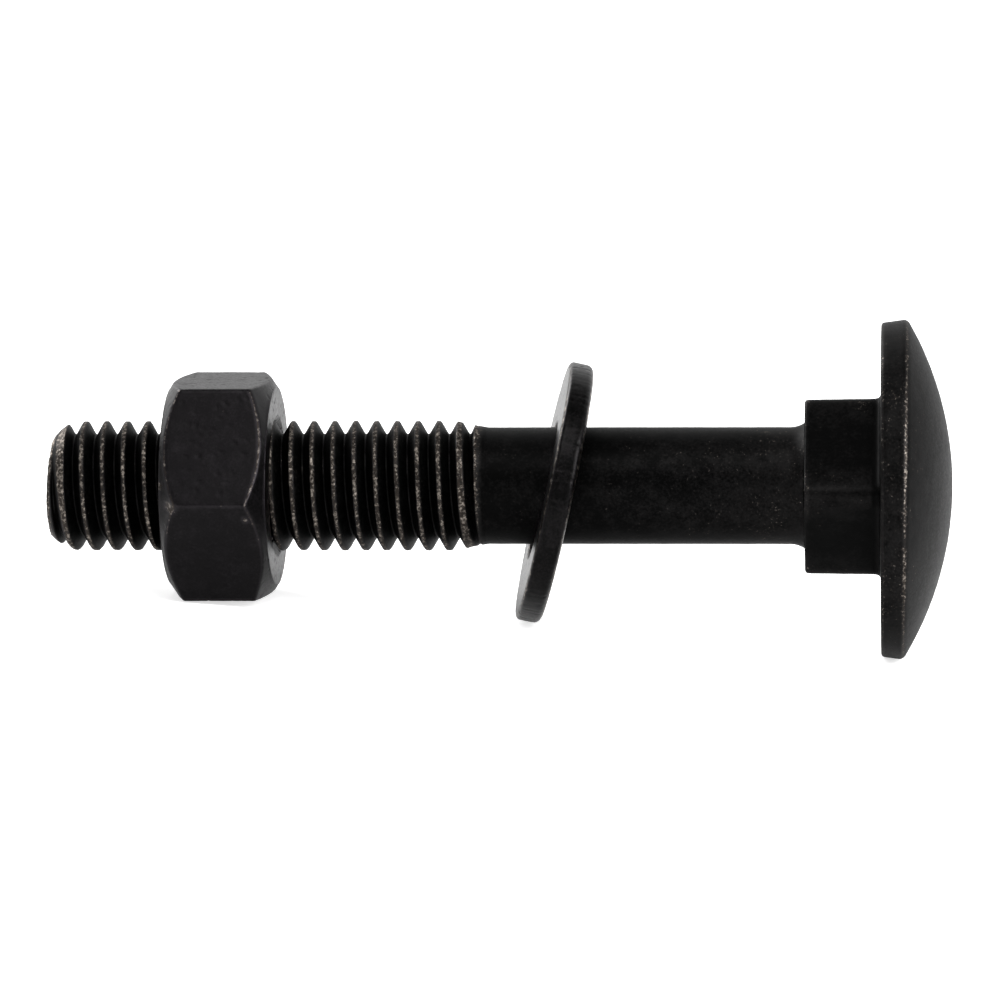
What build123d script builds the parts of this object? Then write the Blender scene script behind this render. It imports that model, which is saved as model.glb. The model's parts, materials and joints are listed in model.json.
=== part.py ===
"""M8 x 50 cup-square carriage bolt with its hexagon nut and plain washer.

The bolt lies at rest on the floor z = 0, head towards +X. The rim of the cup
head and one flat of the nut touch the floor, so the bolt's axis rises a little
towards the head. The washer hangs on the shank and leans. Lengths are in mm,
and a station is a distance along the axis from the head's underside.
"""

import os
from math import atan, cos, degrees, radians, sin, sqrt, tan

from build123d import *

# Thread, M8 coarse, right hand, rolled: the shank stays at the pitch diameter.
thread_d = 7.74
thread_pitch = 1.25
thread_length = 26.09
thread_depth = 0.613 * thread_pitch
root_flat = 0.17 * thread_pitch
flank_angle = 30.0
run_out_length = 0.97
bolt_length = 49.5
tip_chamfer = 1.15

# Cup head: a rim with draft, measured at rim_height, under a spherical dome.
head_d = 20.12
head_height = 4.23
dome_radius = 18.75
rim_height = 1.05
rim_draft = 10.0
rim_bevel = 0.22
underside_bevel = 0.15
rim_offset = 0.25

# Square neck and the shank's flare into it.
neck_over_thread = 0.11
neck_length = 4.5
neck_corner_round = 0.86
neck_draft = 0.7
neck_bevel = 0.15
neck_foot = 0.3
neck_turn = 3.3
neck_offset = 0.07
shank_flare = 0.27
shank_flare_length = 1.6

# Nut, one flat down. Its bore clears the thread, which it rides in whole turns.
nut_af = 12.75
nut_height = 6.35
nut_face_d = 11.9
nut_chamfer_angle = 37.0
nut_bore_play = 0.16
nut_bore_chamfer = 0.3
nut_station = 36.0

# Washer, punched and tumbled: both rims bevelled, the edges of the hole crisp.
washer_od = 15.7
washer_play = 0.69
washer_thickness = 1.5
washer_rim_bevel = 0.38
washer_hole_bevel = 0.1
washer_station = 19.4
washer_lean = 13.0
washer_yaw = 4.6
seat_gap = 0.03

# Sizes that follow from the ones above.
thread_r = thread_d / 2
root_r = thread_r - thread_depth
shank_r = thread_r - thread_depth / 2
tip_r = thread_r - tip_chamfer
neck_width = thread_d + neck_over_thread
thread_start = bolt_length - thread_length
groove_start = thread_start + run_out_length
nut_corner_d = nut_af / cos(radians(30))
nut_far_station = nut_station + nut_height
nut_slope = tan(radians(nut_chamfer_angle))
bore_r = thread_r + nut_bore_play / 2
washer_hole_r = (thread_d + washer_play) / 2
lean, yaw = radians(washer_lean), radians(washer_yaw)
hang = washer_hole_r * cos(lean) - washer_thickness / 2 * sin(lean) - shank_r - seat_gap

# A bevel breaks the edge where the rim's wall meets the dome. In the plane of
# symmetry its lowest corner lies edge_at along the axis and edge_out below it.
draft = tan(radians(rim_draft))
foot_r = head_d / 2 - rim_height * draft
sphere_at = dome_radius - head_height
inner = foot_r + rim_offset
b = sphere_at + draft * inner
c = sphere_at**2 + inner**2 - dome_radius**2
meet_at = (b - sqrt(b**2 - (1 + draft**2) * c)) / (1 + draft**2)
edge_at = meet_at + rim_bevel * cos(radians(rim_draft))
edge_out = inner - draft * edge_at

# Tilt of the axis: the floor touches that corner and the nut's far edge.
drop = edge_out - nut_af / 2
reach = nut_far_station - (nut_af - nut_face_d) / 2 * nut_slope - edge_at
tilt = atan(drop / reach)


def height(distance, below, angle):
    """Height over the floor of a point below the axis, at a station and a tilt."""
    return (edge_out - below) * cos(angle) + (edge_at - distance) * sin(angle)


def washer_reach(angle):
    """Height of the washer's middle when it stands on the floor, at a tilt."""
    facing_z = sin(lean - angle) * cos(yaw)
    return washer_od / 2 * sqrt(1 - facing_z**2) + washer_thickness / 2 * abs(facing_z)


# A washer too tall to pass under the shank holds the tip up in the nut's place.
while washer_reach(tilt) > height(washer_station, -hang, tilt):
    tilt -= radians(0.01)

TOWARDS_TIP = Vector(-cos(tilt), 0, -sin(tilt))
UP = Vector(-sin(tilt), 0, cos(tilt))
NEAR = Vector(0, -1, 0)

# The middle of the head's underside, which puts the origin on the floor below
# the middle of the whole length.
low_x = -bolt_length * cos(tilt) - tip_r * sin(tilt)
high_x = dome_radius - sphere_at * cos(tilt)
UNDERSIDE = Vector(-(low_x + high_x) / 2, 0, height(0, 0, tilt))
AXIS = Axis(UNDERSIDE, TOWARDS_TIP)


def station(distance, lowered=0.0):
    """Plane square to the bolt's axis at a station, its X up, its Z to the tip."""
    middle = UNDERSIDE + TOWARDS_TIP * distance - UP * lowered
    return Plane(middle, x_dir=UP, z_dir=TOWARDS_TIP)


def lengthwise(lowered=0.0):
    """Plane through the bolt's axis: X towards the tip, Y up, lowered on request."""
    return Plane(UNDERSIDE - UP * lowered, x_dir=TOWARDS_TIP, z_dir=(0, 1, 0))


def groove_solid(start, turn_pitch, length, radius, cone_angle=0.0):
    """Thread groove from the top of the bolt at a station, along a helix."""
    half_root = root_flat / 2
    cut = thread_depth + 0.3
    half_mouth = half_root + cut * tan(radians(flank_angle))
    plane = station(start)
    with BuildPart(mode=Mode.PRIVATE) as groove:
        with BuildLine() as turns:
            Helix(turn_pitch, length, radius, cone_angle=cone_angle)
        with BuildSketch(Plane(plane.origin + UP * radius, x_dir=UP, z_dir=(0, -1, 0))):
            with BuildLine():
                Polyline(
                    (0, -half_root), (cut, -half_mouth), (cut, half_mouth), (0, half_root),
                    close=True,
                )
            make_face()
        sweep(path=plane.from_local_coords(turns.line), is_frenet=True)
    return groove.part


os.makedirs("parts", exist_ok=True)

# Bolt: cold-headed in one piece, then thread-rolled.
climb_angle = atan(thread_depth / thread_pitch)
run_out = groove_solid(
    groove_start - thread_pitch, thread_pitch / cos(climb_angle), thread_pitch, thread_r,
    cone_angle=-degrees(climb_angle),
)
groove = groove_solid(
    groove_start, thread_pitch, bolt_length + thread_pitch - groove_start, root_r
)

with BuildPart() as bolt:
    # Rim of the head, which the heading die left a little low.
    with BuildSketch(lengthwise(lowered=rim_offset)):
        with BuildLine():
            Polyline(
                (0, 0), (0, foot_r - underside_bevel),
                (-underside_bevel, foot_r + underside_bevel * draft),
                (-head_height, foot_r + head_height * draft), (-head_height, 0),
                close=True,
            )
        make_face()
    revolve(axis=Axis(UNDERSIDE - UP * rim_offset, TOWARDS_TIP))
    # Dome, centred on the shank.
    with Locations(station(sphere_at)):
        Sphere(dome_radius, mode=Mode.INTERSECT)
    dome = bolt.faces().filter_by(GeomType.SPHERE)[0]
    chamfer(dome.outer_wire().edges(), rim_bevel)

    # Square neck, one corner nearly level with the axis: a bevel, then a slow
    # widening to the head, then a foot that spreads into the underside.
    widening = (neck_length - neck_bevel - neck_foot) * tan(radians(neck_draft))
    for start, length, taper, growth in (
        (neck_length, neck_bevel, 45.0, -neck_bevel),
        (neck_length - neck_bevel, neck_length - neck_bevel - neck_foot, neck_draft, 0.0),
        (neck_foot, neck_foot, 45.0, widening),
    ):
        width = neck_width + 2 * growth
        with BuildSketch(station(start, lowered=neck_offset)):
            RectangleRounded(width, width, neck_corner_round + growth, rotation=45 + neck_turn)
        extrude(amount=-length, taper=-taper)

    # Shank and threaded end, turned about the axis.
    with BuildSketch(lengthwise()):
        with BuildLine():
            Polyline(
                (neck_foot, shank_r), (neck_foot, 0), (bolt_length, 0), (bolt_length, tip_r),
                (bolt_length - tip_chamfer, thread_r), (groove_start, thread_r),
                (thread_start, shank_r), (neck_length + shank_flare_length, shank_r),
            )
            TangentArc(
                (neck_length + shank_flare_length, shank_r),
                (neck_length, shank_r + shank_flare),
                tangent=(-1, 0),
            )
            Polyline((neck_length, shank_r + shank_flare), (neck_length, shank_r), (neck_foot, shank_r))
        make_face()
    revolve(axis=AXIS)
    add(groove, mode=Mode.SUBTRACT)
    add(run_out, mode=Mode.SUBTRACT)
bolt.part.label = "bolt"
export_step(bolt.part, "parts/bolt.step")

# Nut: a hexagon, both ends chamfered by a cone, with a plain countersunk bore.
cone_depth = (nut_corner_d - nut_face_d) / 2 * nut_slope
with BuildPart() as nut:
    with BuildSketch(station(nut_station)):
        RegularPolygon(nut_corner_d / 2, 6, rotation=30)
    extrude(amount=nut_height)
    with BuildSketch(lengthwise()):
        with BuildLine():
            Polyline(
                (nut_station, 0), (nut_station, nut_face_d / 2),
                (nut_station + cone_depth, nut_corner_d / 2),
                (nut_far_station - cone_depth, nut_corner_d / 2),
                (nut_far_station, nut_face_d / 2), (nut_far_station, 0),
                close=True,
            )
        make_face()
    revolve(axis=AXIS, mode=Mode.INTERSECT)
    with Locations(station(nut_station)):
        Hole(bore_r)
    chamfer(nut.faces().filter_by(GeomType.CYLINDER).edges(), nut_bore_chamfer)
nut.part.label = "nut"
export_step(nut.part, "parts/nut.step")

# Washer: it leans by washer_lean, turns its tip side to the near side by
# washer_yaw, and hangs with the upper edge of its hole on the shank, unless the
# floor holds it higher.
facing = (TOWARDS_TIP * cos(lean) + UP * sin(lean)) * cos(yaw) + NEAR * sin(yaw)
hung = UNDERSIDE + TOWARDS_TIP * washer_station - UP * hang
middle = hung + Vector(0, 0, max(0, washer_reach(tilt) - hung.Z))
with BuildPart() as washer:
    with BuildSketch(Plane(middle, x_dir=UP, z_dir=facing)):
        Circle(washer_od / 2)
        Circle(washer_hole_r, mode=Mode.SUBTRACT)
    extrude(amount=washer_thickness / 2, both=True)
    rim, hole = washer.faces().filter_by(GeomType.CYLINDER).sort_by(SortBy.AREA, reverse=True)
    rim_edges, hole_edges = [face.edges().filter_by(GeomType.CIRCLE) for face in (rim, hole)]
    chamfer(rim_edges, washer_rim_bevel)
    chamfer(hole_edges, washer_hole_bevel)
washer.part.label = "washer"
export_step(washer.part, "parts/washer.step")
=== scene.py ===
"""Looks of an M8 cup-square carriage bolt with its hexagon nut and plain washer.

All three are black-oxide steel and lie on a pale floor. Sizes are in millimetres
until a mesh is put in its place. Inside a piece, X is up, Y is away from the
camera and Z runs along the bolt's axis to the tip, from the head's underside.
"""

import json
import logging
from dataclasses import dataclass
from enum import Enum
from functools import partial
from math import cos, pi, radians, sin, sqrt, tan, tau

import bmesh
import bpy
import numpy as np
from mathutils import Matrix, Vector, noise


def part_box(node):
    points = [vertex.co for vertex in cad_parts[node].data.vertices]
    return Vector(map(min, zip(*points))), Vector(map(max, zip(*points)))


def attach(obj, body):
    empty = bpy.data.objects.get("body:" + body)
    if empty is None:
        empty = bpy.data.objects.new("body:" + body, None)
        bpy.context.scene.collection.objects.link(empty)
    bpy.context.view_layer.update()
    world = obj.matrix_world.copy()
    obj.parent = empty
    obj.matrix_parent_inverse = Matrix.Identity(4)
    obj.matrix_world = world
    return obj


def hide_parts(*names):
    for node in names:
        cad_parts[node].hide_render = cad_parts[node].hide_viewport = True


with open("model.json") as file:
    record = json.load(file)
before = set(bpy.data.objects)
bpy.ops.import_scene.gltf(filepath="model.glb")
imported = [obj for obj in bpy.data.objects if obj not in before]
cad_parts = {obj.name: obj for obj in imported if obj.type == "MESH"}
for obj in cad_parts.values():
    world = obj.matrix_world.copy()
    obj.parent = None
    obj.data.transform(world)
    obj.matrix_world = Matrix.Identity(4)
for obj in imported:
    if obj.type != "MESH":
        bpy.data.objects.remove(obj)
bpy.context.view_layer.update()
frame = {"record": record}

log = logging.getLogger("carriage_bolt")
MATH = "ShaderNodeMath"
MM = 0.001
# Points this close, in millimetres, are one point where open edges meet.
SEAM_MM = 0.0015
SLIVER_MM = 0.0005


def add_node(
    tree: bpy.types.NodeTree, kind: str, *values: object, **settings: object
) -> bpy.types.Node:
    """Adds a node to a shader or geometry tree.

    Args:
        tree: the node tree.
        kind: the node's Blender type.
        values: what goes into its inputs in order: a node, a socket, a value, or None.
        settings: attributes of the node, and inputs by name in a dict called inputs.

    Returns:
        The new node.
    """
    node = tree.nodes.new(kind)
    named = settings.pop("inputs", {})
    for name, value in settings.items():
        setattr(node, name, value)
    for key, value in [*enumerate(values), *named.items()]:
        if value is None:
            continue
        if isinstance(value, bpy.types.Node):
            value = value.outputs[0]
        if isinstance(value, bpy.types.NodeSocket):
            tree.links.new(value, node.inputs[key])
        else:
            node.inputs[key].default_value = value
    return node


def linear(hex_colour: str) -> tuple[float, float, float, float]:
    """Turns an sRGB hex colour into linear RGBA.

    Args:
        hex_colour: the colour, such as #1a1a1a.

    Returns:
        Red, green, blue and an alpha of 1.
    """
    parts = [int(hex_colour[i : i + 2], 16) / 255 for i in (1, 3, 5)]
    red, green, blue = [
        c / 12.92 if c <= 0.04045 else ((c + 0.055) / 1.055) ** 2.4 for c in parts
    ]
    return red, green, blue, 1.0


def linked(name: str, data: bpy.types.ID) -> bpy.types.Object:
    """Puts a new object in the scene.

    Args:
        name: the object's name.
        data: its mesh, light or camera.

    Returns:
        The object.
    """
    made = bpy.data.objects.new(name, data)
    bpy.context.scene.collection.objects.link(made)
    return made


# --------------------------------------------------------------------------- finishes


@dataclass(frozen=True)
class BlackOxide:
    """Steel blackened in a hot salt bath and oiled.

    The oxide is a thin, nearly black skin over shaped steel, so it is satin and
    mirrors little head-on and much at a glancing angle. It is rubbed to a brown
    grey along edges and crests, and in stray specks. Lengths are in millimetres.
    The oxide's own grain is finer than 0.05 mm, and is drawn coarser to be seen.
    """

    name: str
    oxide: str
    mottle: str
    roughness: float = 0.42
    glancing: float = 1.0
    worn: str = "#2e2a27"
    bare: str = "#a1988f"
    mottle_mm: float = 0.9
    grain_mm: float = 0.14
    fleck_mm: float = 0.3
    speck_level: float = 0.3
    relief_mm: float = 0.012

    def build(self) -> bpy.types.Material:
        """Builds the material, whose rubbed places follow the mesh attribute wear.

        Returns:
            The material.
        """
        material = bpy.data.materials.new(self.name)
        material.use_nodes = True
        tree = material.node_tree
        tree.nodes.clear()
        add = partial(add_node, tree)
        place = add("ShaderNodeTexCoord").outputs["Object"]
        wear = add("ShaderNodeAttribute", attribute_name="wear").outputs["Fac"]

        sizes = (
            (self.mottle_mm, 1.3),
            (self.grain_mm, 2.9),
            (self.fleck_mm, 3.7),
            (self.mottle_mm * 2.2, 7.1),
        )
        mottle, grain, fleck, patch = [
            add(
                "ShaderNodeTexNoise", noise_dimensions="4D",
                inputs={"Vector": place, "W": seed, "Scale": 1 / (size_mm * MM),
                        "Detail": 3.0, "Roughness": 0.62},
            )
            for size_mm, seed in sizes
        ]
        mottle_swing, grain_swing, patch_swing = [
            add(MATH, cloud, 0.5, operation="SUBTRACT")
            for cloud in (mottle, grain, patch)
        ]
        # The skin: two near blacks in clouds and grains, paler where it is handled.
        cloudy = add(MATH, mottle_swing, 0.3, wear, operation="MULTIPLY_ADD")
        grainy = add(MATH, grain_swing, 0.4, cloudy, operation="MULTIPLY_ADD")
        tone = add("ShaderNodeMapRange", grainy, 0.04, 0.32, 0.0, 1.0)
        skin = add(
            "ShaderNodeMix", tone, data_type="RGBA",
            inputs={6: linear(self.oxide), 7: linear(self.mottle)},
        )
        # Rubbed steel runs from brown grey to bare in flecks.
        glint = add("ShaderNodeMapRange", fleck, 0.48, 0.74, 0.0, 1.0)
        steel = add(
            "ShaderNodeMix", glint, data_type="RGBA",
            inputs={6: linear(self.worn), 7: linear(self.bare)},
        )
        # Wear breaks through where the grain stands high; sound skin keeps only specks.
        patchy = add(MATH, patch_swing, 0.6, operation="MULTIPLY")
        swing = add(MATH, grain_swing, 1.5, patchy, operation="MULTIPLY_ADD")
        height = add(MATH, wear, swing, operation="ADD")
        rubbed = add(
            "ShaderNodeMapRange", height, self.speck_level, self.speck_level + 0.3, 0.0, 1.0,
            interpolation_type="SMOOTHSTEP",
        )
        colour = add(
            "ShaderNodeMix", rubbed, data_type="RGBA",
            inputs={6: skin.outputs[2], 7: steel.outputs[2]},
        )
        rough = add("ShaderNodeMapRange", grain, 0.3, 0.7, self.roughness - 0.06, self.roughness + 0.08)
        bump = add(
            "ShaderNodeBump",
            inputs={"Strength": 0.35, "Distance": self.relief_mm * MM, "Height": grain.outputs[0]},
        )
        tint = (self.glancing, self.glancing, self.glancing, 1.0)
        shader = add(
            "ShaderNodeBsdfPrincipled",
            inputs={"Base Color": colour.outputs[2], "Metallic": 1.0, "Roughness": rough,
                    "Normal": bump, "Specular Tint": tint},
        )
        add("ShaderNodeOutputMaterial", shader)
        return material


# --------------------------------------------------------------------------- places


@dataclass(frozen=True)
class Placement:
    """Where a piece's own millimetre axes lie in the shared frame."""

    origin: Vector
    up: Vector
    along: Vector

    def matrix(self) -> Matrix:
        """Turns the placement into a matrix.

        Returns:
            The matrix from the piece's millimetres to the frame's metres.
        """
        away = self.along.cross(self.up)
        turn = Matrix((self.up, away, self.along)).transposed().to_4x4()
        return Matrix.Translation(self.origin) @ turn @ Matrix.Scale(MM, 4)


def bolt_placement() -> Placement:
    """Reads the bolt's axis from the seat under its head.

    Returns:
        The placement of the bolt, and of the nut, which shares its axis.
    """
    seat = next(m for m in frame["record"]["mounts"] if m["name"] == "head_seat")
    along = Vector(seat["axis"]).normalized()
    up = Vector((along.z, 0.0, -along.x))
    x, _, z = seat["pos_m"]
    return Placement(Vector((x, 0.0, z)), up, along)


def washer_placement(bolt: Placement, lean: float, yaw: float) -> Placement:
    """Places the washer at the middle of its CAD box, leaning on the shank.

    Args:
        bolt: the bolt's placement.
        lean: how far the washer's top leans to the head, in degrees.
        yaw: how far its tip side turns to the near side, in degrees.

    Returns:
        The washer's placement, with its own axis towards the tip.
    """
    near = Vector((0.0, -1.0, 0.0))
    tipped = bolt.along * cos(radians(lean)) + bolt.up * sin(radians(lean))
    facing = tipped * cos(radians(yaw)) + near * sin(radians(yaw))
    low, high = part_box("washer")
    return Placement((low + high) / 2, near.cross(facing).normalized() * -1, facing)


# --------------------------------------------------------------------------- meshes


class RingMesh:
    """A mesh of rings of points round an axis, joined one to the next."""

    def __init__(self, columns: int) -> None:
        """Starts with no rings.

        Args:
            columns: how many points each ring has.
        """
        self.angles = np.arange(columns) * tau / columns
        self.rings: list[np.ndarray] = []
        self.wear: list[np.ndarray] = []

    def add(self, station: float | np.ndarray, radius: float | np.ndarray, lowered: float = 0.0,
            wear: float | np.ndarray = 0.0) -> None:
        """Adds a ring.

        Args:
            station: its place along the axis, for all points or for each.
            radius: its radius, for all points or for each.
            lowered: how far its middle lies below the axis.
            wear: how bare the steel is there, from 0 to 1.
        """
        blank = np.zeros_like(self.angles)
        up = np.cos(self.angles) * radius - lowered
        self.rings.append(np.stack([up, np.sin(self.angles) * radius, blank + station], 1))
        self.wear.append(blank + wear)

    def build(self, name: str, start_pole: float | None = None, end_pole: float | None = None,
              looped: bool = False) -> bpy.types.Object:
        """Makes the mesh object.

        Args:
            name: the object's name.
            start_pole: the station of a point that closes the first ring, if any.
            end_pole: the same for the last ring.
            looped: whether the last ring joins the first.

        Returns:
            The new object, in the piece's own millimetres.
        """
        count, rows = len(self.angles), len(self.rings)
        points = np.concatenate(self.rings)
        wear = np.concatenate(self.wear)
        column = np.arange(count)
        following = (column + 1) % count
        faces: list[tuple[int, ...]] = []
        for row in range(rows if looped else rows - 1):
            a, b = row * count, (row + 1) % rows * count
            faces += zip(a + column, a + following, b + following, b + column)
        for pole, row in ((start_pole, 0), (end_pole, rows - 1)):
            if pole is not None:
                middle = self.rings[row].mean(0)
                points = np.vstack([points, [middle[0], middle[1], pole]])
                wear = np.append(wear, 0.0)
                last = len(points) - 1
                a = row * count
                ends = zip(a + following, a + column) if row == 0 else zip(a + column, a + following)
                faces += [(p, q, last) for p, q in ends]
        mesh = bpy.data.meshes.new(name)
        mesh.from_pydata(points.tolist(), [], [tuple(int(i) for i in f) for f in faces])
        mesh.attributes.new("wear", "FLOAT", "POINT").data.foreach_set("value", wear.astype(np.float32))
        return linked(name, mesh)


def rounded(a: tuple[float, float], corner: tuple[float, float], b: tuple[float, float], reach: float,
            steps: int = 4) -> list[tuple[float, float]]:
    """Rounds one corner of a profile.

    Args:
        a: the point before the corner.
        corner: the corner itself.
        b: the point after it.
        reach: how far along each side the round starts.
        steps: how many pieces the round has.

    Returns:
        The points of the round, from a's side to b's.
    """
    p, c, q = (np.array(v, float) for v in (a, corner, b))
    start, end = (
        c + (side - c) * min(0.5, reach / max(np.linalg.norm(side - c), 1e-9)) for side in (p, q)
    )
    found = []
    for k in range(steps + 1):
        s = k / steps
        found.append(tuple((1 - s) ** 2 * start + 2 * s * (1 - s) * c + s**2 * end))
    return found


def polygon_radius(angles: np.ndarray, sides: int, across: float, corner: float, turned: float) -> np.ndarray:
    """Radius of a regular polygon with rounded corners, by direction.

    Args:
        angles: the directions, in radians.
        sides: how many flats it has.
        across: the size across flats, or of a side for a square.
        corner: the radius of its corners.
        turned: the direction of the middle of one flat, in radians.

    Returns:
        The radius in each direction.
    """
    half = pi / sides
    local = np.abs((angles - turned + half) % (2 * half) - half)
    flat = across / 2 / np.cos(local)
    inset = (across / 2 - corner) / cos(half)
    middle = inset * np.cos(half - local)
    arc = middle + np.sqrt(np.maximum(middle**2 - inset**2 + corner**2, 0.0))
    on_arc = flat * np.sin(local) > (across / 2 - corner) * tan(half)
    return np.where(on_arc, arc, flat)


def joined(name: str, *things: bpy.types.Object) -> bpy.types.Object:
    """Joins open meshes into one closed mesh whose faces point outwards.

    Args:
        name: the new object's name.
        things: the objects, which share the points of their open edges.

    Returns:
        The joined object.
    """
    work = bmesh.new()
    for thing in things:
        work.from_mesh(thing.data)
        bpy.data.objects.remove(thing)
    bmesh.ops.remove_doubles(work, verts=work.verts, dist=SEAM_MM)
    bmesh.ops.dissolve_degenerate(work, edges=work.edges, dist=SLIVER_MM)
    bmesh.ops.recalc_face_normals(work, faces=work.faces)
    open_edges = sum(not e.is_manifold for e in work.edges)
    mesh = bpy.data.meshes.new(name)
    work.to_mesh(mesh)
    work.free()
    log.info("%s: %d faces, %d open edges", name, len(mesh.polygons), open_edges)
    return linked(name, mesh)


def evaluated(thing: bpy.types.Object, tree: bpy.types.NodeTree, inputs: dict[str, object],
              name: str) -> bpy.types.Object:
    """Runs a geometry tree on an object and keeps the result as a plain mesh.

    Args:
        thing: the object that the tree works on, which is removed.
        tree: the geometry tree.
        inputs: the tree's inputs by name.
        name: the new object's name.

    Returns:
        The new object, with no modifier.
    """
    modifier = thing.modifiers.new("rule", "NODES")
    modifier.node_group = tree
    for item in tree.interface.items_tree:
        if item.item_type == "SOCKET" and item.in_out == "INPUT" and item.name in inputs:
            modifier[item.identifier] = inputs[item.name]
    shown = thing.evaluated_get(bpy.context.evaluated_depsgraph_get())
    mesh = bpy.data.meshes.new_from_object(shown)
    mesh.name = name
    bpy.data.objects.remove(thing)
    return linked(name, mesh)


def new_tree(
    name: str, defaults: dict[str, float | int]
) -> tuple[bpy.types.NodeTree, dict[str, bpy.types.NodeSocket]]:
    """Starts a geometry tree with named numbers and a material as its inputs.

    Args:
        name: the tree's name.
        defaults: each number's default value by name, whole for a whole input.

    Returns:
        The tree and its inputs by name.
    """
    tree = bpy.data.node_groups.new(name, "GeometryNodeTree")
    tree.interface.new_socket("Geometry", in_out="OUTPUT", socket_type="NodeSocketGeometry")
    tree.interface.new_socket("Geometry", in_out="INPUT", socket_type="NodeSocketGeometry")
    for label, value in defaults.items():
        kind = "NodeSocketInt" if isinstance(value, int) else "NodeSocketFloat"
        tree.interface.new_socket(label, in_out="INPUT", socket_type=kind).default_value = value
    tree.interface.new_socket("Material", in_out="INPUT", socket_type="NodeSocketMaterial")
    given = add_node(tree, "NodeGroupInput").outputs
    return tree, {socket.name: socket for socket in given if socket.name}


def finish_tree(
    tree: bpy.types.NodeTree, geometry: bpy.types.Node, material: bpy.types.NodeSocket
) -> None:
    """Ends a geometry tree in real geometry with its material set.

    Args:
        tree: the geometry tree.
        geometry: the node whose geometry is the result.
        material: the tree's material input.
    """
    real = add_node(tree, "GeometryNodeRealizeInstances", geometry)
    dressed = add_node(
        tree, "GeometryNodeSetMaterial", inputs={"Geometry": real, "Material": material}
    )
    add_node(tree, "NodeGroupOutput", dressed)


# --------------------------------------------------------------------------- thread


class ThreadSide(Enum):
    """Which side of a thread a surface is."""

    BOLT = "bolt"
    NUT = "nut"


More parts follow.
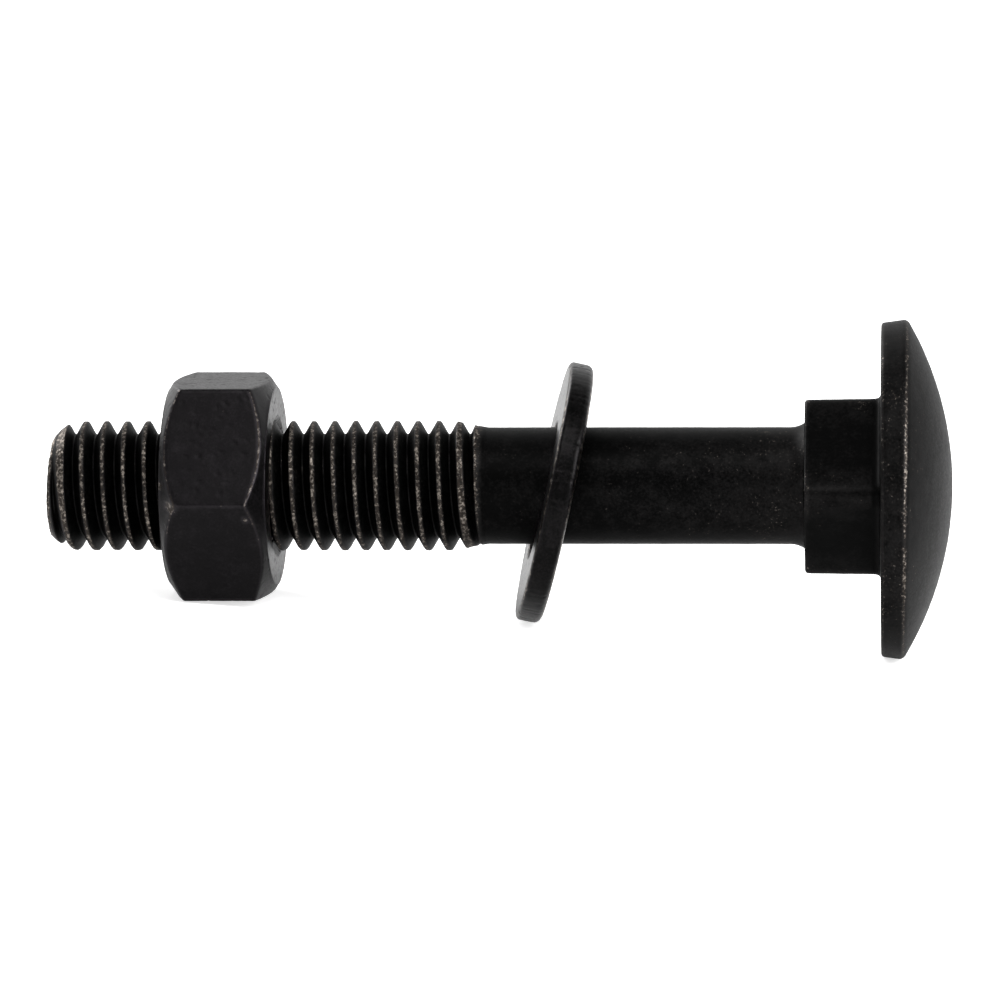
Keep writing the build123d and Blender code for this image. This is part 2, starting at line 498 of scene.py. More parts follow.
@dataclass(frozen=True)
class Thread:
    """M8 coarse right-hand thread, whose groove starts at the top of the bolt.

    The wear values say how bare its steel is, from 0 to 1, and the band is how
    far below a crest the rubbing reaches. Both grow a little at the tip's crest.
    Along the tip's end edge the pale steel is partly wear, partly a painted highlight.
    """

    major: float = 7.8
    pitch: float = 1.25
    root_flat: float = 0.1
    flank: float = 30.0
    groove_start: float = 24.38
    crest_band: float = 0.042
    crest_wear: float = 0.62
    crest_growth: float = 0.04
    tip_reach: float = 1.7
    # Paleness of the end edge: partly rubbed steel, partly a painted highlight along the edge.
    lip_wear_and_highlight: float = 0.66
    flank_wear: float = 0.07

    @property
    def depth(self) -> float:
        """Depth of the rolled groove."""
        return 0.63 * self.pitch

    @property
    def root(self) -> float:
        """Radius at the bottom of the groove."""
        return self.major / 2 - self.depth

    def shape(self, side: ThreadSide, name: str, sizes: dict[str, object]) -> bpy.types.Object:
        """Makes one side of the thread by its geometry tree.

        Args:
            side: the bolt's outside or the nut's inside.
            name: the new object's name.
            sizes: the tree's inputs that differ from side to side.

        Returns:
            The threaded tube, open at both ends.
        """
        shared = {
            "Pitch": self.pitch, "Groove Start": self.groove_start, "Root Flat": self.root_flat,
            "Flank Slope": 1 / tan(radians(self.flank)),
        }
        carrier = linked("carrier", bpy.data.meshes.new("carrier"))
        return evaluated(carrier, self.tree(side), {**shared, **sizes}, name)

    def tree(self, side: ThreadSide) -> bpy.types.NodeTree:
        """Builds the rule that shapes one side of the thread.

        A flat grid is rolled into a tube whose rows climb one pitch a turn, so
        that crests and roots run along the mesh. The radius at a point is the
        groove's flank there, held between the blank's own limits.

        Args:
            side: the bolt's outside or the nut's inside.

        Returns:
            The geometry tree.
        """
        tree, g = new_tree(
            f"{side.value} thread",
            {
                "First Station": 0.0, "Last Station": 10.0, "Pitch": 1.25, "Groove Start": 0.0,
                "Root Radius": 3.0, "Root Flat": 0.2, "Flank Slope": 1.7, "Low Radius": 3.0,
                "High Radius": 4.0, "First Limit": 4.0, "First Slope": 0.0, "Last Limit": 4.0,
                "Last Slope": 0.0, "End Reach": 2.0, "End Drop": 1.0, "End Askew": 0.0,
                "Groove Rise": 0.0, "Crest Round": 0.2, "Roughness": 0.0, "Seed": 1.0,
                "Rows per Turn": 16, "Columns": 144,
            },
        )
        add = partial(add_node, tree)
        length = add(MATH, g["Last Station"], g["First Station"], operation="SUBTRACT")
        # Whole rows to a turn, so that the seam closes, and one turn more than the length.
        row = add(MATH, g["Pitch"], g["Rows per Turn"], operation="DIVIDE")
        longer = add(MATH, length, g["Pitch"], operation="ADD")
        needed = add(MATH, longer, row, operation="DIVIDE")
        eased = add(MATH, needed, 0.01, operation="SUBTRACT")
        steps = add(MATH, eased, operation="CEIL")
        span = add(MATH, steps, row, operation="MULTIPLY")
        rows = add(MATH, steps, 1.0, operation="ADD")
        across = add(MATH, g["Columns"], 1.0, operation="ADD")
        grid = add(
            "GeometryNodeMeshGrid",
            inputs={"Size X": span, "Size Y": tau, "Vertices X": rows, "Vertices Y": across},
        )
        flat = add("ShaderNodeSeparateXYZ", add("GeometryNodeInputPosition")).outputs
        angle = add(MATH, flat[1], pi, operation="ADD")
        turn = add(MATH, angle, tau, operation="DIVIDE")
        half_span = add(MATH, span, 0.5, operation="MULTIPLY")
        raw = add(MATH, flat[0], half_span, operation="ADD")
        start = add(MATH, g["First Station"], g["Pitch"], operation="SUBTRACT")
        level = add(MATH, raw, start, operation="ADD")
        climbed = add(MATH, turn, g["Pitch"], level, operation="MULTIPLY_ADD")
        station = add("ShaderNodeClamp", climbed, g["First Station"], g["Last Station"])
        from_first = add(MATH, station, g["First Station"], operation="SUBTRACT")
        to_last = add(MATH, g["Last Station"], station, operation="SUBTRACT")
        # The sheared end lies a little askew, and the groove keeps its own pitch there.
        upper = add(MATH, angle, operation="COSINE")
        away = add(MATH, angle, operation="SINE")
        ending = add("ShaderNodeMapRange", to_last, 1.6, 0.0, 0.0, g["End Askew"])
        lean = add(MATH, ending, upper, operation="MULTIPLY")
        at = add(MATH, station, lean, operation="SUBTRACT")
        # Distance from the middle of the nearest groove, along the axis.
        beyond = add(MATH, at, g["Groove Start"], operation="SUBTRACT")
        pitches = add(MATH, beyond, g["Pitch"], operation="DIVIDE")
        phase = add(MATH, pitches, turn, operation="SUBTRACT")
        nearest = add(MATH, phase, operation="ROUND")
        off = add(MATH, phase, nearest, operation="SUBTRACT")
        apart = add(MATH, off, operation="ABSOLUTE")
        off_mm = add(MATH, apart, g["Pitch"], operation="MULTIPLY")
        half_root = add(MATH, g["Root Flat"], 0.5, operation="MULTIPLY")
        past_root = add(MATH, off_mm, half_root, operation="SUBTRACT")
        on_flank = add(MATH, past_root, 0.0, operation="MAXIMUM")
        early = add(MATH, g["Groove Start"], at, operation="SUBTRACT")
        late = add(MATH, early, 0.0, operation="MAXIMUM")
        bottom = add(MATH, late, g["Groove Rise"], g["Root Radius"], operation="MULTIPLY_ADD")
        flank = add(MATH, on_flank, g["Flank Slope"], bottom, operation="MULTIPLY_ADD")
        # Limits set by the blank: cones at both ends, and its plain radii.
        first_cone = add(MATH, from_first, g["First Slope"], g["First Limit"], operation="MULTIPLY_ADD")
        if side is ThreadSide.BOLT:
            # Towards the end the crests fall off in a curve.
            first_kept = add(MATH, first_cone, g["Low Radius"], operation="MAXIMUM")
            share = add("ShaderNodeMapRange", to_last, 0.0, g["End Reach"], 1.0, 0.0)
            fall = add(MATH, share, share, operation="MULTIPLY")
            lost = add(MATH, fall, g["End Drop"], operation="MULTIPLY")
            curve = add(MATH, g["High Radius"], lost, operation="SUBTRACT")
            cones = add(MATH, first_kept, curve, operation="MINIMUM")
            blank = add(MATH, cones, g["High Radius"], operation="MINIMUM")
            radius = add(MATH, flank, blank, g["Crest Round"], operation="SMOOTH_MIN")
        else:
            last_cone = add(MATH, to_last, g["Last Slope"], g["Last Limit"], operation="MULTIPLY_ADD")
            deep = add(MATH, flank, g["High Radius"], operation="MINIMUM")
            blank = add(MATH, deep, g["Low Radius"], operation="MAXIMUM")
            cones = add(MATH, first_cone, last_cone, operation="MAXIMUM")
            radius = add(MATH, blank, cones, operation="MAXIMUM")
        # Crests are rough and rubbed bare, and the flanks keep their skin.
        under = add(MATH, blank, radius, operation="SUBTRACT")
        # The crest at the end is knocked the most.
        near_end = add("ShaderNodeMapRange", to_last, self.tip_reach, 1.0, 0.0, 1.0)
        growth = self.crest_growth
        reach = add(MATH, near_end, growth, self.crest_band, operation="MULTIPLY_ADD")
        most = add(MATH, near_end, growth, self.crest_wear, operation="MULTIPLY_ADD")
        crest = add("ShaderNodeMapRange", under, reach, 0.0, 0.0, most, interpolation_type="SMOOTHSTEP")
        low = add(MATH, g["High Radius"], radius, operation="SUBTRACT")
        proud = add("ShaderNodeMapRange", low, 0.65, 0.3, 0.0, 1.0)
        threaded = add("ShaderNodeMapRange", from_first, 0.85, 1.3, self.flank_wear, 1.0)
        exposed = add(MATH, proud, threaded, operation="MULTIPLY")
        rubbed = add(MATH, crest, exposed, operation="MULTIPLY")
        # The end edge is painted pale: partly rubbed steel, partly a painted highlight along the edge.
        lip = add("ShaderNodeMapRange", to_last, 0.34, 0.14, 0.0, self.lip_wear_and_highlight)
        dusty = add(MATH, threaded, self.flank_wear, operation="MULTIPLY")
        rubbed_and_lip_highlight = add(MATH, rubbed, lip, operation="MAXIMUM")
        worn = add(MATH, rubbed_and_lip_highlight, dusty, operation="MAXIMUM")
        spot = add("ShaderNodeCombineXYZ", upper, away, station)
        uneven = add(
            "ShaderNodeTexNoise", noise_dimensions="4D",
            inputs={"Vector": spot, "W": g["Seed"], "Scale": 6.0, "Detail": 3.0, "Roughness": 0.6},
        )
        swing = add(MATH, uneven, 0.5, operation="SUBTRACT")
        calm = add("ShaderNodeMapRange", to_last, 0.0, 0.12, 0.0, g["Roughness"])
        rough = add(MATH, calm, worn, operation="MULTIPLY")
        final = add(MATH, swing, rough, radius, operation="MULTIPLY_ADD")
        place = add(
            "ShaderNodeCombineXYZ",
            add(MATH, upper, final, operation="MULTIPLY"),
            add(MATH, away, final, operation="MULTIPLY"),
            at,
        )
        marked = add(
            "GeometryNodeStoreNamedAttribute", data_type="FLOAT", domain="POINT",
            inputs={"Geometry": grid, "Name": "wear", "Value": worn},
        )
        rolled = add("GeometryNodeSetPosition", inputs={"Geometry": marked, "Position": place})
        sealed = add("GeometryNodeMergeByDistance", inputs={"Geometry": rolled, "Distance": 0.002})
        smooth = add("GeometryNodeSetShadeSmooth", sealed)
        finish_tree(tree, smooth, g["Material"])
        return tree


def dents_tree() -> bpy.types.NodeTree:
    """Builds the rule that leaves swells, nicks and pits on a forged or punched skin.

    Returns:
        The geometry tree.
    """
    tree, g = new_tree(
        "forged skin",
        {
            "Swing": 0.02, "Edge Swing": 0.05, "Size": 1.5, "Edge Size": 0.5,
            "Pit Depth": 0.0, "Pit Size": 0.3, "Seed": 1.0,
        },
    )
    add = partial(add_node, tree)
    where = add("GeometryNodeInputPosition")
    wear = add("GeometryNodeInputNamedAttribute", data_type="FLOAT", inputs={"Name": "wear"})
    other_seed = add(MATH, g["Seed"], 9.0, operation="ADD")
    kinds = (
        ("Size", g["Seed"], 3.0, 0.55),
        ("Edge Size", g["Seed"], 3.0, 0.6),
        ("Pit Size", other_seed, 1.0, 0.5),
    )
    broad, fine, spots = [
        add(
            "ShaderNodeTexNoise", noise_dimensions="4D",
            inputs={"Vector": where, "W": seed, "Detail": detail, "Roughness": gain,
                    "Scale": add(MATH, 1.0, g[size], operation="DIVIDE")},
        )
        for size, seed, detail, gain in kinds
    ]
    # The swell and the rubbed edges only ever go inwards.
    swell = add(MATH, broad, 0.62, operation="SUBTRACT")
    low = add(MATH, swell, g["Swing"], operation="MULTIPLY")
    nick = add(MATH, fine, 0.7, operation="SUBTRACT")
    edge = add(MATH, nick, g["Edge Swing"], operation="MULTIPLY")
    cut = add(MATH, edge, wear, low, operation="MULTIPLY_ADD")
    hollow = add("ShaderNodeMapRange", spots, 0.64, 0.72, 0.0, 1.0, interpolation_type="SMOOTHSTEP")
    pitted = add(MATH, hollow, g["Pit Depth"], cut, operation="MULTIPLY_ADD")
    inward = add(MATH, pitted, 0.0, operation="MINIMUM")
    shift = add(
        "ShaderNodeVectorMath", add("GeometryNodeInputNormal"), operation="SCALE",
        inputs={"Scale": inward},
    )
    moved = add("GeometryNodeSetPosition", inputs={"Geometry": g["Geometry"], "Offset": shift})
    finish_tree(tree, moved, g["Material"])
    return tree


def settle(
    thing: bpy.types.Object, placement: Placement, node: str, body: str, sharp: float = 35.0
) -> None:
    """Puts a finished piece in its place and hands it to its body.

    Args:
        thing: the piece, in its own millimetres.
        placement: where it lies in the frame.
        node: the CAD node that it replaces, which is hidden.
        body: the CAD body that it rides on.
        sharp: the angle in degrees above which an edge is drawn sharp.
    """
    thing.data.transform(placement.matrix())
    thing.data.polygons.foreach_set("use_smooth", [True] * len(thing.data.polygons))
    thing.data.set_sharp_from_angle(angle=radians(sharp))
    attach(thing, body)
    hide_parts(node)
    log.info("%s: %d faces on %s", thing.name, len(thing.data.polygons), body)


# --------------------------------------------------------------------------- bolt


@dataclass
class CarriageBolt:
    """Cold-headed cup-square bolt with a rolled thread."""

    placement: Placement
    thread: Thread
    finish: BlackOxide
    dents: bpy.types.NodeTree
    length: float = 49.5
    tip_flat: float = 6.0
    tip_length: float = 1.6
    tip_askew: float = 0.12
    shank_radius: float = 3.487
    crest_run_out: float = 1.9
    thread_start: float = 23.36
    rolled_turns: float = 21.5
    head_across: float = 20.12
    head_height: float = 4.23
    dome_radius: float = 19.6
    rim_height: float = 1.2
    rim_draft: float = 7.5
    rim_round: float = 0.27
    rim_offset: float = 0.25
    underside_bevel: float = 0.15
    neck_width: float = 7.85
    neck_length: float = 4.5
    neck_corner: float = 0.86
    neck_draft: float = 0.7
    neck_foot: float = 0.3
    neck_turn: float = 3.3
    neck_offset: float = 0.07
    flare: float = 0.27
    flare_length: float = 0.9
    face_wear: float = 0.13
    wall_wear: float = 0.15
    edge_wear: float = 0.22
    columns: int = 144

    @property
    def first(self) -> float:
        """Station where the rolled tube meets the plain shank."""
        return self.length - self.rolled_turns * self.thread.pitch

    def build(self) -> bpy.types.Object:
        """Makes the whole bolt as one closed mesh.

        Returns:
            The bolt, in its place and on its body.
        """
        steel = self.finish.build()
        body = joined("bolt_body", self.rolled(steel), self.tip(), self.upper())
        skin = {"Swing": 0.03, "Edge Swing": 0.22, "Size": 1.3, "Edge Size": 0.45, "Seed": 4.2,
                "Material": steel}
        body = evaluated(body, self.dents, skin, "bolt_body")
        settle(body, self.placement, "bolt", "bolt")
        return body

    def rolled(self, steel: bpy.types.Material) -> bpy.types.Object:
        """Makes the threaded tube, from the plain shank to the tip.

        Args:
            steel: the bolt's material.

        Returns:
            The tube, open at both ends.
        """
        rise = (self.thread.major / 2 - self.shank_radius) / self.crest_run_out
        sizes = {
            "First Station": self.first, "Last Station": self.length,
            "Root Radius": self.thread.root, "Low Radius": self.shank_radius,
            "High Radius": self.thread.major / 2, "First Slope": rise,
            "First Limit": self.shank_radius - (self.thread_start - self.first) * rise,
            "End Reach": self.tip_length, "End Drop": (self.thread.major - self.tip_flat) / 2,
            "End Askew": self.tip_askew, "Groove Rise": self.thread.depth / self.thread.pitch,
            "Crest Round": 0.12, "Roughness": 0.1, "Seed": 2.5, "Rows per Turn": 16,
            "Columns": self.columns, "Material": steel,
        }
        return self.thread.shape(ThreadSide.BOLT, "rolled", sizes)

    def tip(self) -> bpy.types.Object:
        """Makes the small cup that rolling leaves in the end.

        Returns:
            The cup, open where it meets the tube.
        """
        rings = RingMesh(self.columns)
        # How far back from the end, how far in from its edge, and the wear there; the pale outer edge is
        # partly rubbed steel, partly a painted highlight.
        cup = ((0.0, 0.0, 0.66), (0.02, 0.12, 0.4), (0.08, 0.45, 0.1), (0.2, 0.9, 0.05), (0.3, 1.6, 0.05))
        for back, inset, wear in cup:
            radius = self.tip_flat / 2 - inset
            lean = self.tip_askew * np.cos(rings.angles) * radius * 2 / self.tip_flat
            rings.add(self.length - back - lean, radius, wear=wear)
        return rings.build("tip", end_pole=self.length - 0.34)

    def upper(self) -> bpy.types.Object:
        """Makes shank, square neck and cup head.

        Returns:
            The three in one mesh, open where the shank meets the tube.
        """
        rings = RingMesh(self.columns)
        shank = self.shank_radius
        flare_end = self.neck_length + self.flare_length
        steps = 28
        for k in range(steps + 1):
            station = self.first + (flare_end - self.first) * k / steps
            rings.add(station, shank, wear=0.06 + 0.1 * (k / steps) ** 3)
        # The flare into the neck is an arc.
        big = (self.flare_length**2 + self.flare**2) / (2 * self.flare)
        for k in range(1, 9):
            s = self.flare_length * k / 8
            rings.add(flare_end - s, shank + big - sqrt(big**2 - s**2), wear=self.wall_wear)
        self.neck(rings)
        self.head(rings)
        return rings.build("upper", end_pole=-self.head_height)

    def neck(self, rings: RingMesh) -> None:
        """Adds the square neck's rings, from its end face to the underside.

        Args:
            rings: the mesh that the rings go to.
        """
        turned = pi / 4 + radians(self.neck_turn)
        draft = tan(radians(self.neck_draft))
        half = self.neck_width / 2
        inner = self.shank_radius + self.flare + 0.06
        end = self.neck_length
        corner = rounded((end, half - 0.6), (end, half), (end - 0.6, half), 0.2)
        foot = rounded(
            (1.0, half + (end - 1.0) * draft), (0.0, half + end * draft), (0.0, half + 1.0),
            self.neck_foot * 1.3, 5,
        )
        along = [(end, inner), *corner]
        along += [(s, half + (end - s) * draft) for s in np.linspace(end - 0.4, 0.6, 14)]
        for station, reach in along + foot:
            grown = reach - half
            radius = polygon_radius(rings.angles, 4, 2 * reach, max(self.neck_corner + grown, 0.3), turned)
            spread = np.clip((radius - reach) / (half * 0.3), 0, 1)
            edge = self.edge_wear if end - 0.3 < station < end else 0.12 * float(station > 0.4)
            wear = edge * (0.25 + spread)
            rings.add(station, np.maximum(radius, inner - 0.001), lowered=self.neck_offset, wear=wear)

    def head(self, rings: RingMesh) -> None:
        """Adds the underside, the rim and the dome.

        Args:
            rings: the mesh that the rings go to.
        """
        draft = tan(radians(self.rim_draft))
        foot = self.head_across / 2 - self.rim_height * draft
        centre = self.dome_radius - self.head_height
        for radius in (6.2, 6.8, 7.4, 8.0, 8.6, 9.2):
            lowered = self.rim_offset * radius / foot
            rings.add(0.0, radius, lowered=lowered, wear=self.face_wear)
        bevel = rounded(
            (0.0, foot - 1.0), (0.0, foot), (-1.0, foot + draft), self.underside_bevel * 1.4, 4
        )
        for station, radius in bevel:
            rings.add(station, radius, lowered=self.rim_offset, wear=self.edge_wear)
        # Where the rim's wall meets the dome differs round the offset rim.
        up = np.cos(rings.angles)

        def dome_at(radius: np.ndarray | float, lowered: float) -> np.ndarray:
            """Station of the dome's surface at a radius round a lowered middle."""
            out = np.sqrt((up * radius - lowered) ** 2 + (np.sin(rings.angles) * radius) ** 2)
            return centre - np.sqrt(self.dome_radius**2 - out**2)

        meet = np.full_like(up, self.rim_height)
        for _ in range(30):
            meet = -dome_at(foot + meet * draft, self.rim_offset)
        wall = foot + meet * draft
        for share in (0.15, 0.3, 0.45, 0.6, 0.75):
            out = foot + meet * share * draft
            rings.add(-meet * share, out, lowered=self.rim_offset, wear=self.wall_wear)
        reach = self.rim_round
        inner = wall - reach * 0.86
        start = np.stack([-meet + reach, wall - reach * draft])
        end = np.stack([dome_at(inner, self.rim_offset), inner])
        top = np.stack([-meet, wall])
        for k, wear in enumerate((0.14, 0.16, 0.25, 0.45, 0.5, 0.3, 0.1)):
            s = k / 6
            at = (1 - s) ** 2 * start + 2 * s * (1 - s) * top + s**2 * end
            rings.add(at[0], at[1], lowered=self.rim_offset, wear=wear)
        for k in range(1, 60):
            share = 1 - (k / 60) ** 0.9
            radius = inner * share
            lowered = self.rim_offset * share
            rings.add(dome_at(radius, lowered), radius, lowered=lowered, wear=self.face_wear)


# --------------------------------------------------------------------------- nut


@dataclass
class HexagonNut:
    """Cold-forged hexagon nut, chamfered on both faces and tapped through."""

    placement: Placement
    thread: Thread
    finish: BlackOxide
    dents: bpy.types.NodeTree
    across_flats: float = 12.75
    height: float = 6.35
    face_across: float = 11.9
    chamfer_angle: float = 37.0
    corner: float = 0.22
    face_round: float = 0.12
    flat_round: float = 0.14
    mouth: float = 4.25
    clearance: float = 0.08
    minor: float = 3.33
    station: float = 36.0
    columns: int = 360
    # Each knock's direction in degrees, place along the nut, size and depth.
    knocks: tuple[tuple[float, float, float, float], ...] = (
        (269.0, 5.55, 0.32, 0.16), (279.0, 6.2, 0.22, 0.1), (262.0, 1.1, 0.16, 0.05), (96.0, 0.9, 0.3, 0.12),
        (158.0, 5.4, 0.25, 0.1),
    )

    def build(self) -> bpy.types.Object:
        """Makes the nut as one closed mesh.

        Returns:
            The nut, in its place and on its body.
        """
        steel = self.finish.build()
        body = joined("nut_body", self.tapped(steel), self.outside())
        skin = {"Swing": 0.03, "Edge Swing": 0.07, "Size": 1.6, "Edge Size": 0.6, "Pit Depth": -0.035,
                "Pit Size": 0.26, "Seed": 8.1, "Material": steel}
        body = evaluated(body, self.dents, skin, "nut_body")
        settle(body, self.placement, "nut", "nut")
        return body

    def tapped(self, steel: bpy.types.Material) -> bpy.types.Object:
        """Makes the tapped hole, in phase with the bolt's thread.

        Args:
            steel: the nut's material.

        Returns:
            The hole's wall, open at both mouths.
        """
        sizes = {
            "First Station": self.station, "Last Station": self.station + self.height,
            "Root Radius": self.thread.root + self.clearance, "Low Radius": self.minor,
            "High Radius": self.thread.major / 2 + 0.05, "First Limit": self.mouth,
            "First Slope": -1.2, "Last Limit": self.mouth, "Last Slope": -1.2,
            "Crest Round": 0.05, "Seed": 6.5, "Rows per Turn": 12,
            "Columns": self.columns, "Material": steel,
        }
        return self.thread.shape(ThreadSide.NUT, "tapped", sizes)

    def outside(self) -> bpy.types.Object:
        """Makes both faces, both chamfers and the six flats.

        Returns:
            The outside in one mesh, open at both mouths.
        """
        rings = RingMesh(self.columns)
        slope = tan(radians(self.chamfer_angle))
        side = polygon_radius(rings.angles, 6, self.across_flats, self.corner, 0.0)
        face = self.face_across / 2
        middle = self.across_flats / 2
        # The six corners, which are rubbed from end to end.
        crease = np.clip((side - middle * 1.138) / (middle * 0.01), 0, 1)
        down = (side - face) * slope
        level_face, round_about = np.zeros_like(side), np.ones_like(side)
        half = []
        flat = np.linspace(self.mouth + 0.25, face - self.face_round, 11)
        for radius in (self.mouth, self.mouth + 0.1, *flat):
            by_mouth = float(radius < self.mouth + 0.15)
            half.append((level_face, radius * round_about, 0.25 * by_mouth))
        for s in (0.33, 0.66, 1.0):
            out = face - self.face_round + 0.2 * s * cos(radians(50 * s))
            half.append((0.05 * s * s * round_about, out * round_about, 0.2))
        near_side = np.minimum(self.face_round, (side - face) * 0.4)
        lip = face - self.face_round + 0.2 * cos(radians(50))
        for s in (0.2, 0.4, 0.6, 0.8):
            out = lip + (side - near_side - lip) * s
            half.append((0.05 + (down - near_side * slope - 0.05) * s, out, 0.08))
        # Edges rub unevenly round the nut.
        rubbed = 0.25 + 0.75 * np.cos(rings.angles + radians(60)) ** 2
        for s, wear in ((0.0, 0.1), (0.35, 0.4), (0.65, 0.8), (1.0, 0.2)):
            before = np.stack([down - near_side * slope, side - near_side])
            after = np.stack([down + self.flat_round, side])
            at = (1 - s) ** 2 * before + 2 * s * (1 - s) * np.stack([down, side]) + s**2 * after
            half.append((at[0], at[1], wear * rubbed))
        level = self.height / 2
        rows = 18
        edge = down + self.flat_round
        for k in range(1, rows + 1):
            half.append((edge + (level - edge) * k / rows, side, 0.06 + 0.24 * crease))
        for at, radius, wear in half:
            self.add_knocked(rings, self.station + at, radius, wear)
        for at, radius, wear in half[-2::-1]:
            self.add_knocked(rings, self.station + self.height - at, radius, wear * 0.8)
        return rings.build("outside")

    def add_knocked(self, rings: RingMesh, station: np.ndarray, radius: np.ndarray,
                    wear: float | np.ndarray) -> None:
        """Adds a ring, pressed in and rubbed bare where the nut was knocked.

        Args:
            rings: the mesh that the ring goes to.
            station: its place along the axis, point by point.
            radius: its radius, point by point.
            wear: how bare the steel is there.
        """
        pressed, bare = np.zeros_like(radius), np.zeros_like(radius)
        for angle, along, size, depth in self.knocks:
            turn = (rings.angles - radians(angle) + pi) % tau - pi
            round_by = turn * self.across_flats / 2
            far = np.hypot(round_by, station - self.station - along) / size
            near = np.exp(-(far**2)) * np.clip((radius - self.mouth - 0.6) / 0.8, 0, 1)
            pressed += depth * near
            bare += 0.9 * near
        rings.add(station, radius - pressed, wear=np.minimum(wear + bare, 1.0))


# --------------------------------------------------------------------------- washer


@dataclass
class PunchedWasher:
    """Plain washer blanked from sheet steel and tumbled."""

    placement: Placement
    finish: BlackOxide
    dents: bpy.types.NodeTree
    across: float = 15.7
    hole: float = 8.43
    thickness: float = 1.5
    rim_round: float = 0.44
    tip_rim_round: float = 0.3
    hole_round: float = 0.12
    columns: int = 480

    def build(self) -> bpy.types.Object:
        """Makes the washer as one closed ring.

        Returns:
            The washer, in its place and on the bolt's body.
        """
        steel = self.finish.build()
        rings = RingMesh(self.columns)
        half, outer, inner = self.thickness / 2, self.across / 2, self.hole / 2
        profile: list[tuple[float, float, float]] = []
        bends = [pi / 2 * k / 6 for k in range(7)]
        edge = [0.15, 0.9, 0.9, 0.3, 0.12, 0.1, 0.1]
        for a, wear in zip(bends, edge):
            reach = self.tip_rim_round
            profile.append((half - reach * (1 - cos(a)), outer - reach * (1 - sin(a)), wear))
        wall = self.thickness - self.tip_rim_round - self.rim_round
        profile += [(half - self.tip_rim_round - wall * k / 4, outer, 0.1) for k in (1, 2, 3)]
        for a, wear in zip(reversed(bends), reversed(edge)):
            reach = self.rim_round
            profile.append((-half + reach * (1 - cos(a)), outer - reach * (1 - sin(a)), wear))
        far = outer - self.rim_round
        face = [far - (far - inner - 0.3) * k / 14 for k in range(1, 15)]
        profile += [(-half, r, 0.05) for r in face]
        hole = [
            (0.0, inner + self.hole_round, 0.5), (0.04, inner + 0.03, 0.5), (self.hole_round, inner, 0.3),
        ]
        profile += [(-half + depth, r, wear) for depth, r, wear in hole]
        profile += [(half - depth, r, wear) for depth, r, wear in reversed(hole)]
        profile += [(half, r, 0.05) for r in reversed(face)]
        for station, radius, wear in profile:
            torn = self.shear(rings.angles, station) if radius > outer - 0.3 else 0.0
            rings.add(station, radius + torn, wear=wear)
        body = joined("washer_body", rings.build("ring", looped=True))
        skin = {"Swing": 0.02, "Edge Swing": 0.1, "Size": 1.0, "Edge Size": 0.4, "Pit Depth": -0.03,
                "Pit Size": 0.3, "Seed": 5.3, "Material": steel}
        body = evaluated(body, self.dents, skin, "washer_body")
        settle(body, self.placement, "washer", "bolt", sharp=50.0)
        return body

    def shear(self, angles: np.ndarray, station: float) -> np.ndarray:
        """Depth of the torn marks that blanking leaves across the rim.

        Args:
            angles: the directions round the rim, in radians.
            station: the place across it, in millimetres.

        Returns:
            How much the radius changes in each direction, zero or less.
        """
        found = []
        for angle in angles:
            mark = noise.noise(Vector((cos(angle) * 30, sin(angle) * 30, station * 0.35)))
            patch = noise.noise(Vector((cos(angle) * 2.2, sin(angle) * 2.2, 7.0)))
            found.append(-0.035 * max(0.0, mark) * (0.4 + max(0.0, patch) * 2.5))
        return np.array(found)


# --------------------------------------------------------------------------- studio


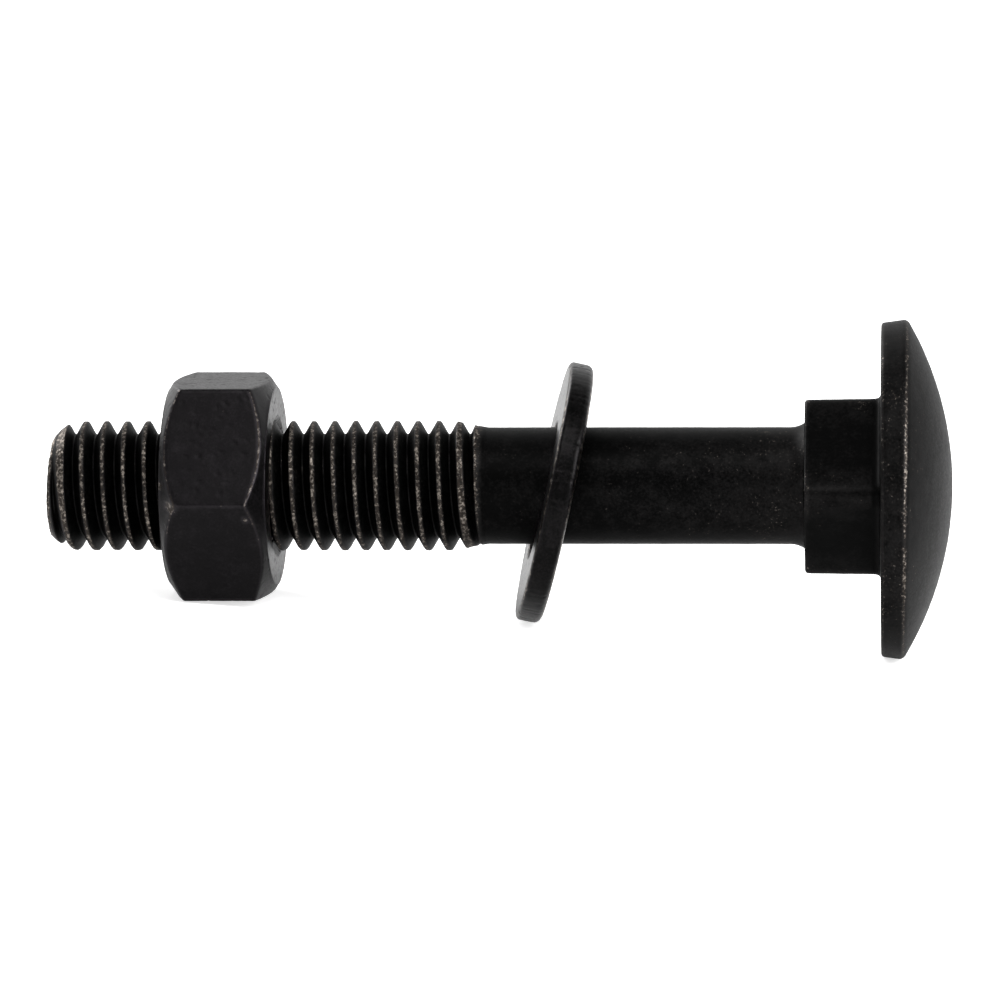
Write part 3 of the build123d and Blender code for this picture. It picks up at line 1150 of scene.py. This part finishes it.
@dataclass
class Studio:
    """Pale floor, white surround, soft light and camera."""

    bolt: Placement
    elevation: float = 9.55
    azimuth: float = 4.63
    lens: float = 182.88
    distance: float = 302.84
    aim_along: float = 22.655
    aim_below: float = 0.858
    floor_size: float = 3.0

    def build(self) -> None:
        """Makes the floor, the world, the lamps and the camera."""
        self.floor()
        self.world()
        self.lamp("softbox", (0.0, -0.5, 0.87), 0.4, 3.2)
        self.lamp("side softbox", (0.7, -0.4, 0.42), 0.5, 7.0)
        self.lamp("rear softbox", (-0.65, 0.5, 0.55), 0.5, 7.0)
        self.camera()

    def floor(self) -> None:
        """Lays a plain pale floor that reads white and keeps the shadow."""
        half = self.floor_size / 2
        corners = [(-half, -half, 0), (half, -half, 0), (half, half, 0), (-half, half, 0)]
        mesh = bpy.data.meshes.new("floor")
        mesh.from_pydata(corners, [], [(0, 1, 2, 3)])
        plane = linked("floor", mesh)
        paper = bpy.data.materials.new("matt_white_card")
        paper.use_nodes = True
        tree = paper.node_tree
        tree.nodes.clear()
        add = partial(add_node, tree)
        path = add("ShaderNodeLightPath").outputs
        mirrored = add(MATH, path["Is Glossy Ray"], 0.25, operation="MULTIPLY")
        seen = add(MATH, path["Is Camera Ray"], mirrored, operation="MAXIMUM")
        matt = add("ShaderNodeBsdfDiffuse", inputs={"Color": linear("#e9e9e9")})
        glow = add(MATH, seen, 0.65, operation="MULTIPLY")
        lift = add("ShaderNodeEmission", inputs={"Strength": glow})
        both = add("ShaderNodeAddShader", matt, lift)
        add("ShaderNodeOutputMaterial", both)
        mesh.materials.append(paper)

    def world(self) -> None:
        """Surrounds the set with white, mirrored dimmer from near the camera and overhead."""
        world = bpy.data.worlds.new("white_surround")
        bpy.context.scene.world = world
        world.use_nodes = True
        tree = world.node_tree
        tree.nodes.clear()
        add = partial(add_node, tree)
        path = add("ShaderNodeLightPath").outputs
        towards = add("ShaderNodeTexCoord").outputs["Generated"]
        facing = add("ShaderNodeSeparateXYZ", towards)
        round_about = add("ShaderNodeMapRange", facing.outputs[1], -0.6, 0.5, 0.62, 1.0)
        overhead = add("ShaderNodeMapRange", facing.outputs[2], 0.75, 0.97, 1.0, 0.25)
        room = add(MATH, round_about, overhead, operation="MULTIPLY")
        mirrored = path["Is Glossy Ray"]
        soft = add("ShaderNodeMapRange", mirrored, 0.0, 1.0, 0.85, room)
        strength = add("ShaderNodeMapRange", path["Is Camera Ray"], 0.0, 1.0, soft, 1.0)
        surround = add("ShaderNodeBackground", inputs={"Color": (1, 1, 1, 1), "Strength": strength})
        add("ShaderNodeOutputWorld", surround)

    def lamp(self, name: str, at: tuple[float, float, float], size: float, watts: float) -> None:
        """Hangs one soft lamp that points at the bolt.

        Args:
            name: the lamp's name.
            at: its place in metres.
            size: its side in metres.
            watts: its power.
        """
        light = bpy.data.lights.new(name, "AREA")
        light.size = size
        light.energy = watts
        held = linked(name, light)
        held.location = at
        held.rotation_euler = Vector(at).to_track_quat("Z", "Y").to_euler()

    def camera(self) -> None:
        """Sets the camera beside the bolt, square to its axis but for a few degrees."""
        head = -self.bolt.along
        near = Vector((0.0, -1.0, 0.0))
        e, a = radians(self.elevation), radians(self.azimuth)
        level = near * cos(e) + self.bolt.up * sin(e)
        back = level * cos(a) + head * sin(a)
        right = head * cos(a) - level * sin(a)
        up = back.cross(right)
        aim = self.bolt.origin - head * self.aim_along * MM - up * self.aim_below * MM
        lens = bpy.data.cameras.new("camera")
        lens.sensor_width = 36.0
        lens.lens = self.lens
        lens.clip_start, lens.clip_end = 0.01, 20.0
        camera = linked("camera", lens)
        place = Matrix((right, up, back)).transposed().to_4x4()
        place.translation = aim + back * self.distance * MM
        camera.matrix_world = place
        bpy.context.scene.camera = camera


def main() -> None:
    """Builds the pieces in order, then the studio round them."""
    logging.basicConfig(level=logging.INFO, format="%(message)s")
    bpy.context.scene.view_settings.view_transform = "Standard"
    bolt_at = bolt_placement()
    thread = Thread()
    dents = dents_tree()
    # Cold-headed wire with a rolled thread: the dullest skin, with the finest flecks.
    headed = BlackOxide(
        "black_oxide_cold_headed_steel", "#0a0a0a", "#232222",
        roughness=0.47, glancing=0.7, fleck_mm=0.17,
    )
    # Cold-forged and tapped blank: smoother, and rubbed only at its edges.
    forged = BlackOxide(
        "black_oxide_forged_nut_steel", "#161516", "#252325",
        roughness=0.39, speck_level=0.4, bare="#857e79",
    )
    # Punched from rolled sheet: the smoothest of the three.
    punched = BlackOxide(
        "black_oxide_punched_sheet_steel", "#0f0f0f", "#232122", roughness=0.33, speck_level=0.38
    )
    CarriageBolt(bolt_at, thread, headed, dents).build()
    HexagonNut(bolt_at, thread, forged, dents).build()
    washer_at = washer_placement(bolt_at, lean=13.0, yaw=4.6)
    PunchedWasher(washer_at, punched, dents).build()
    Studio(bolt_at).build()


if __name__ == "__main__":
    main()
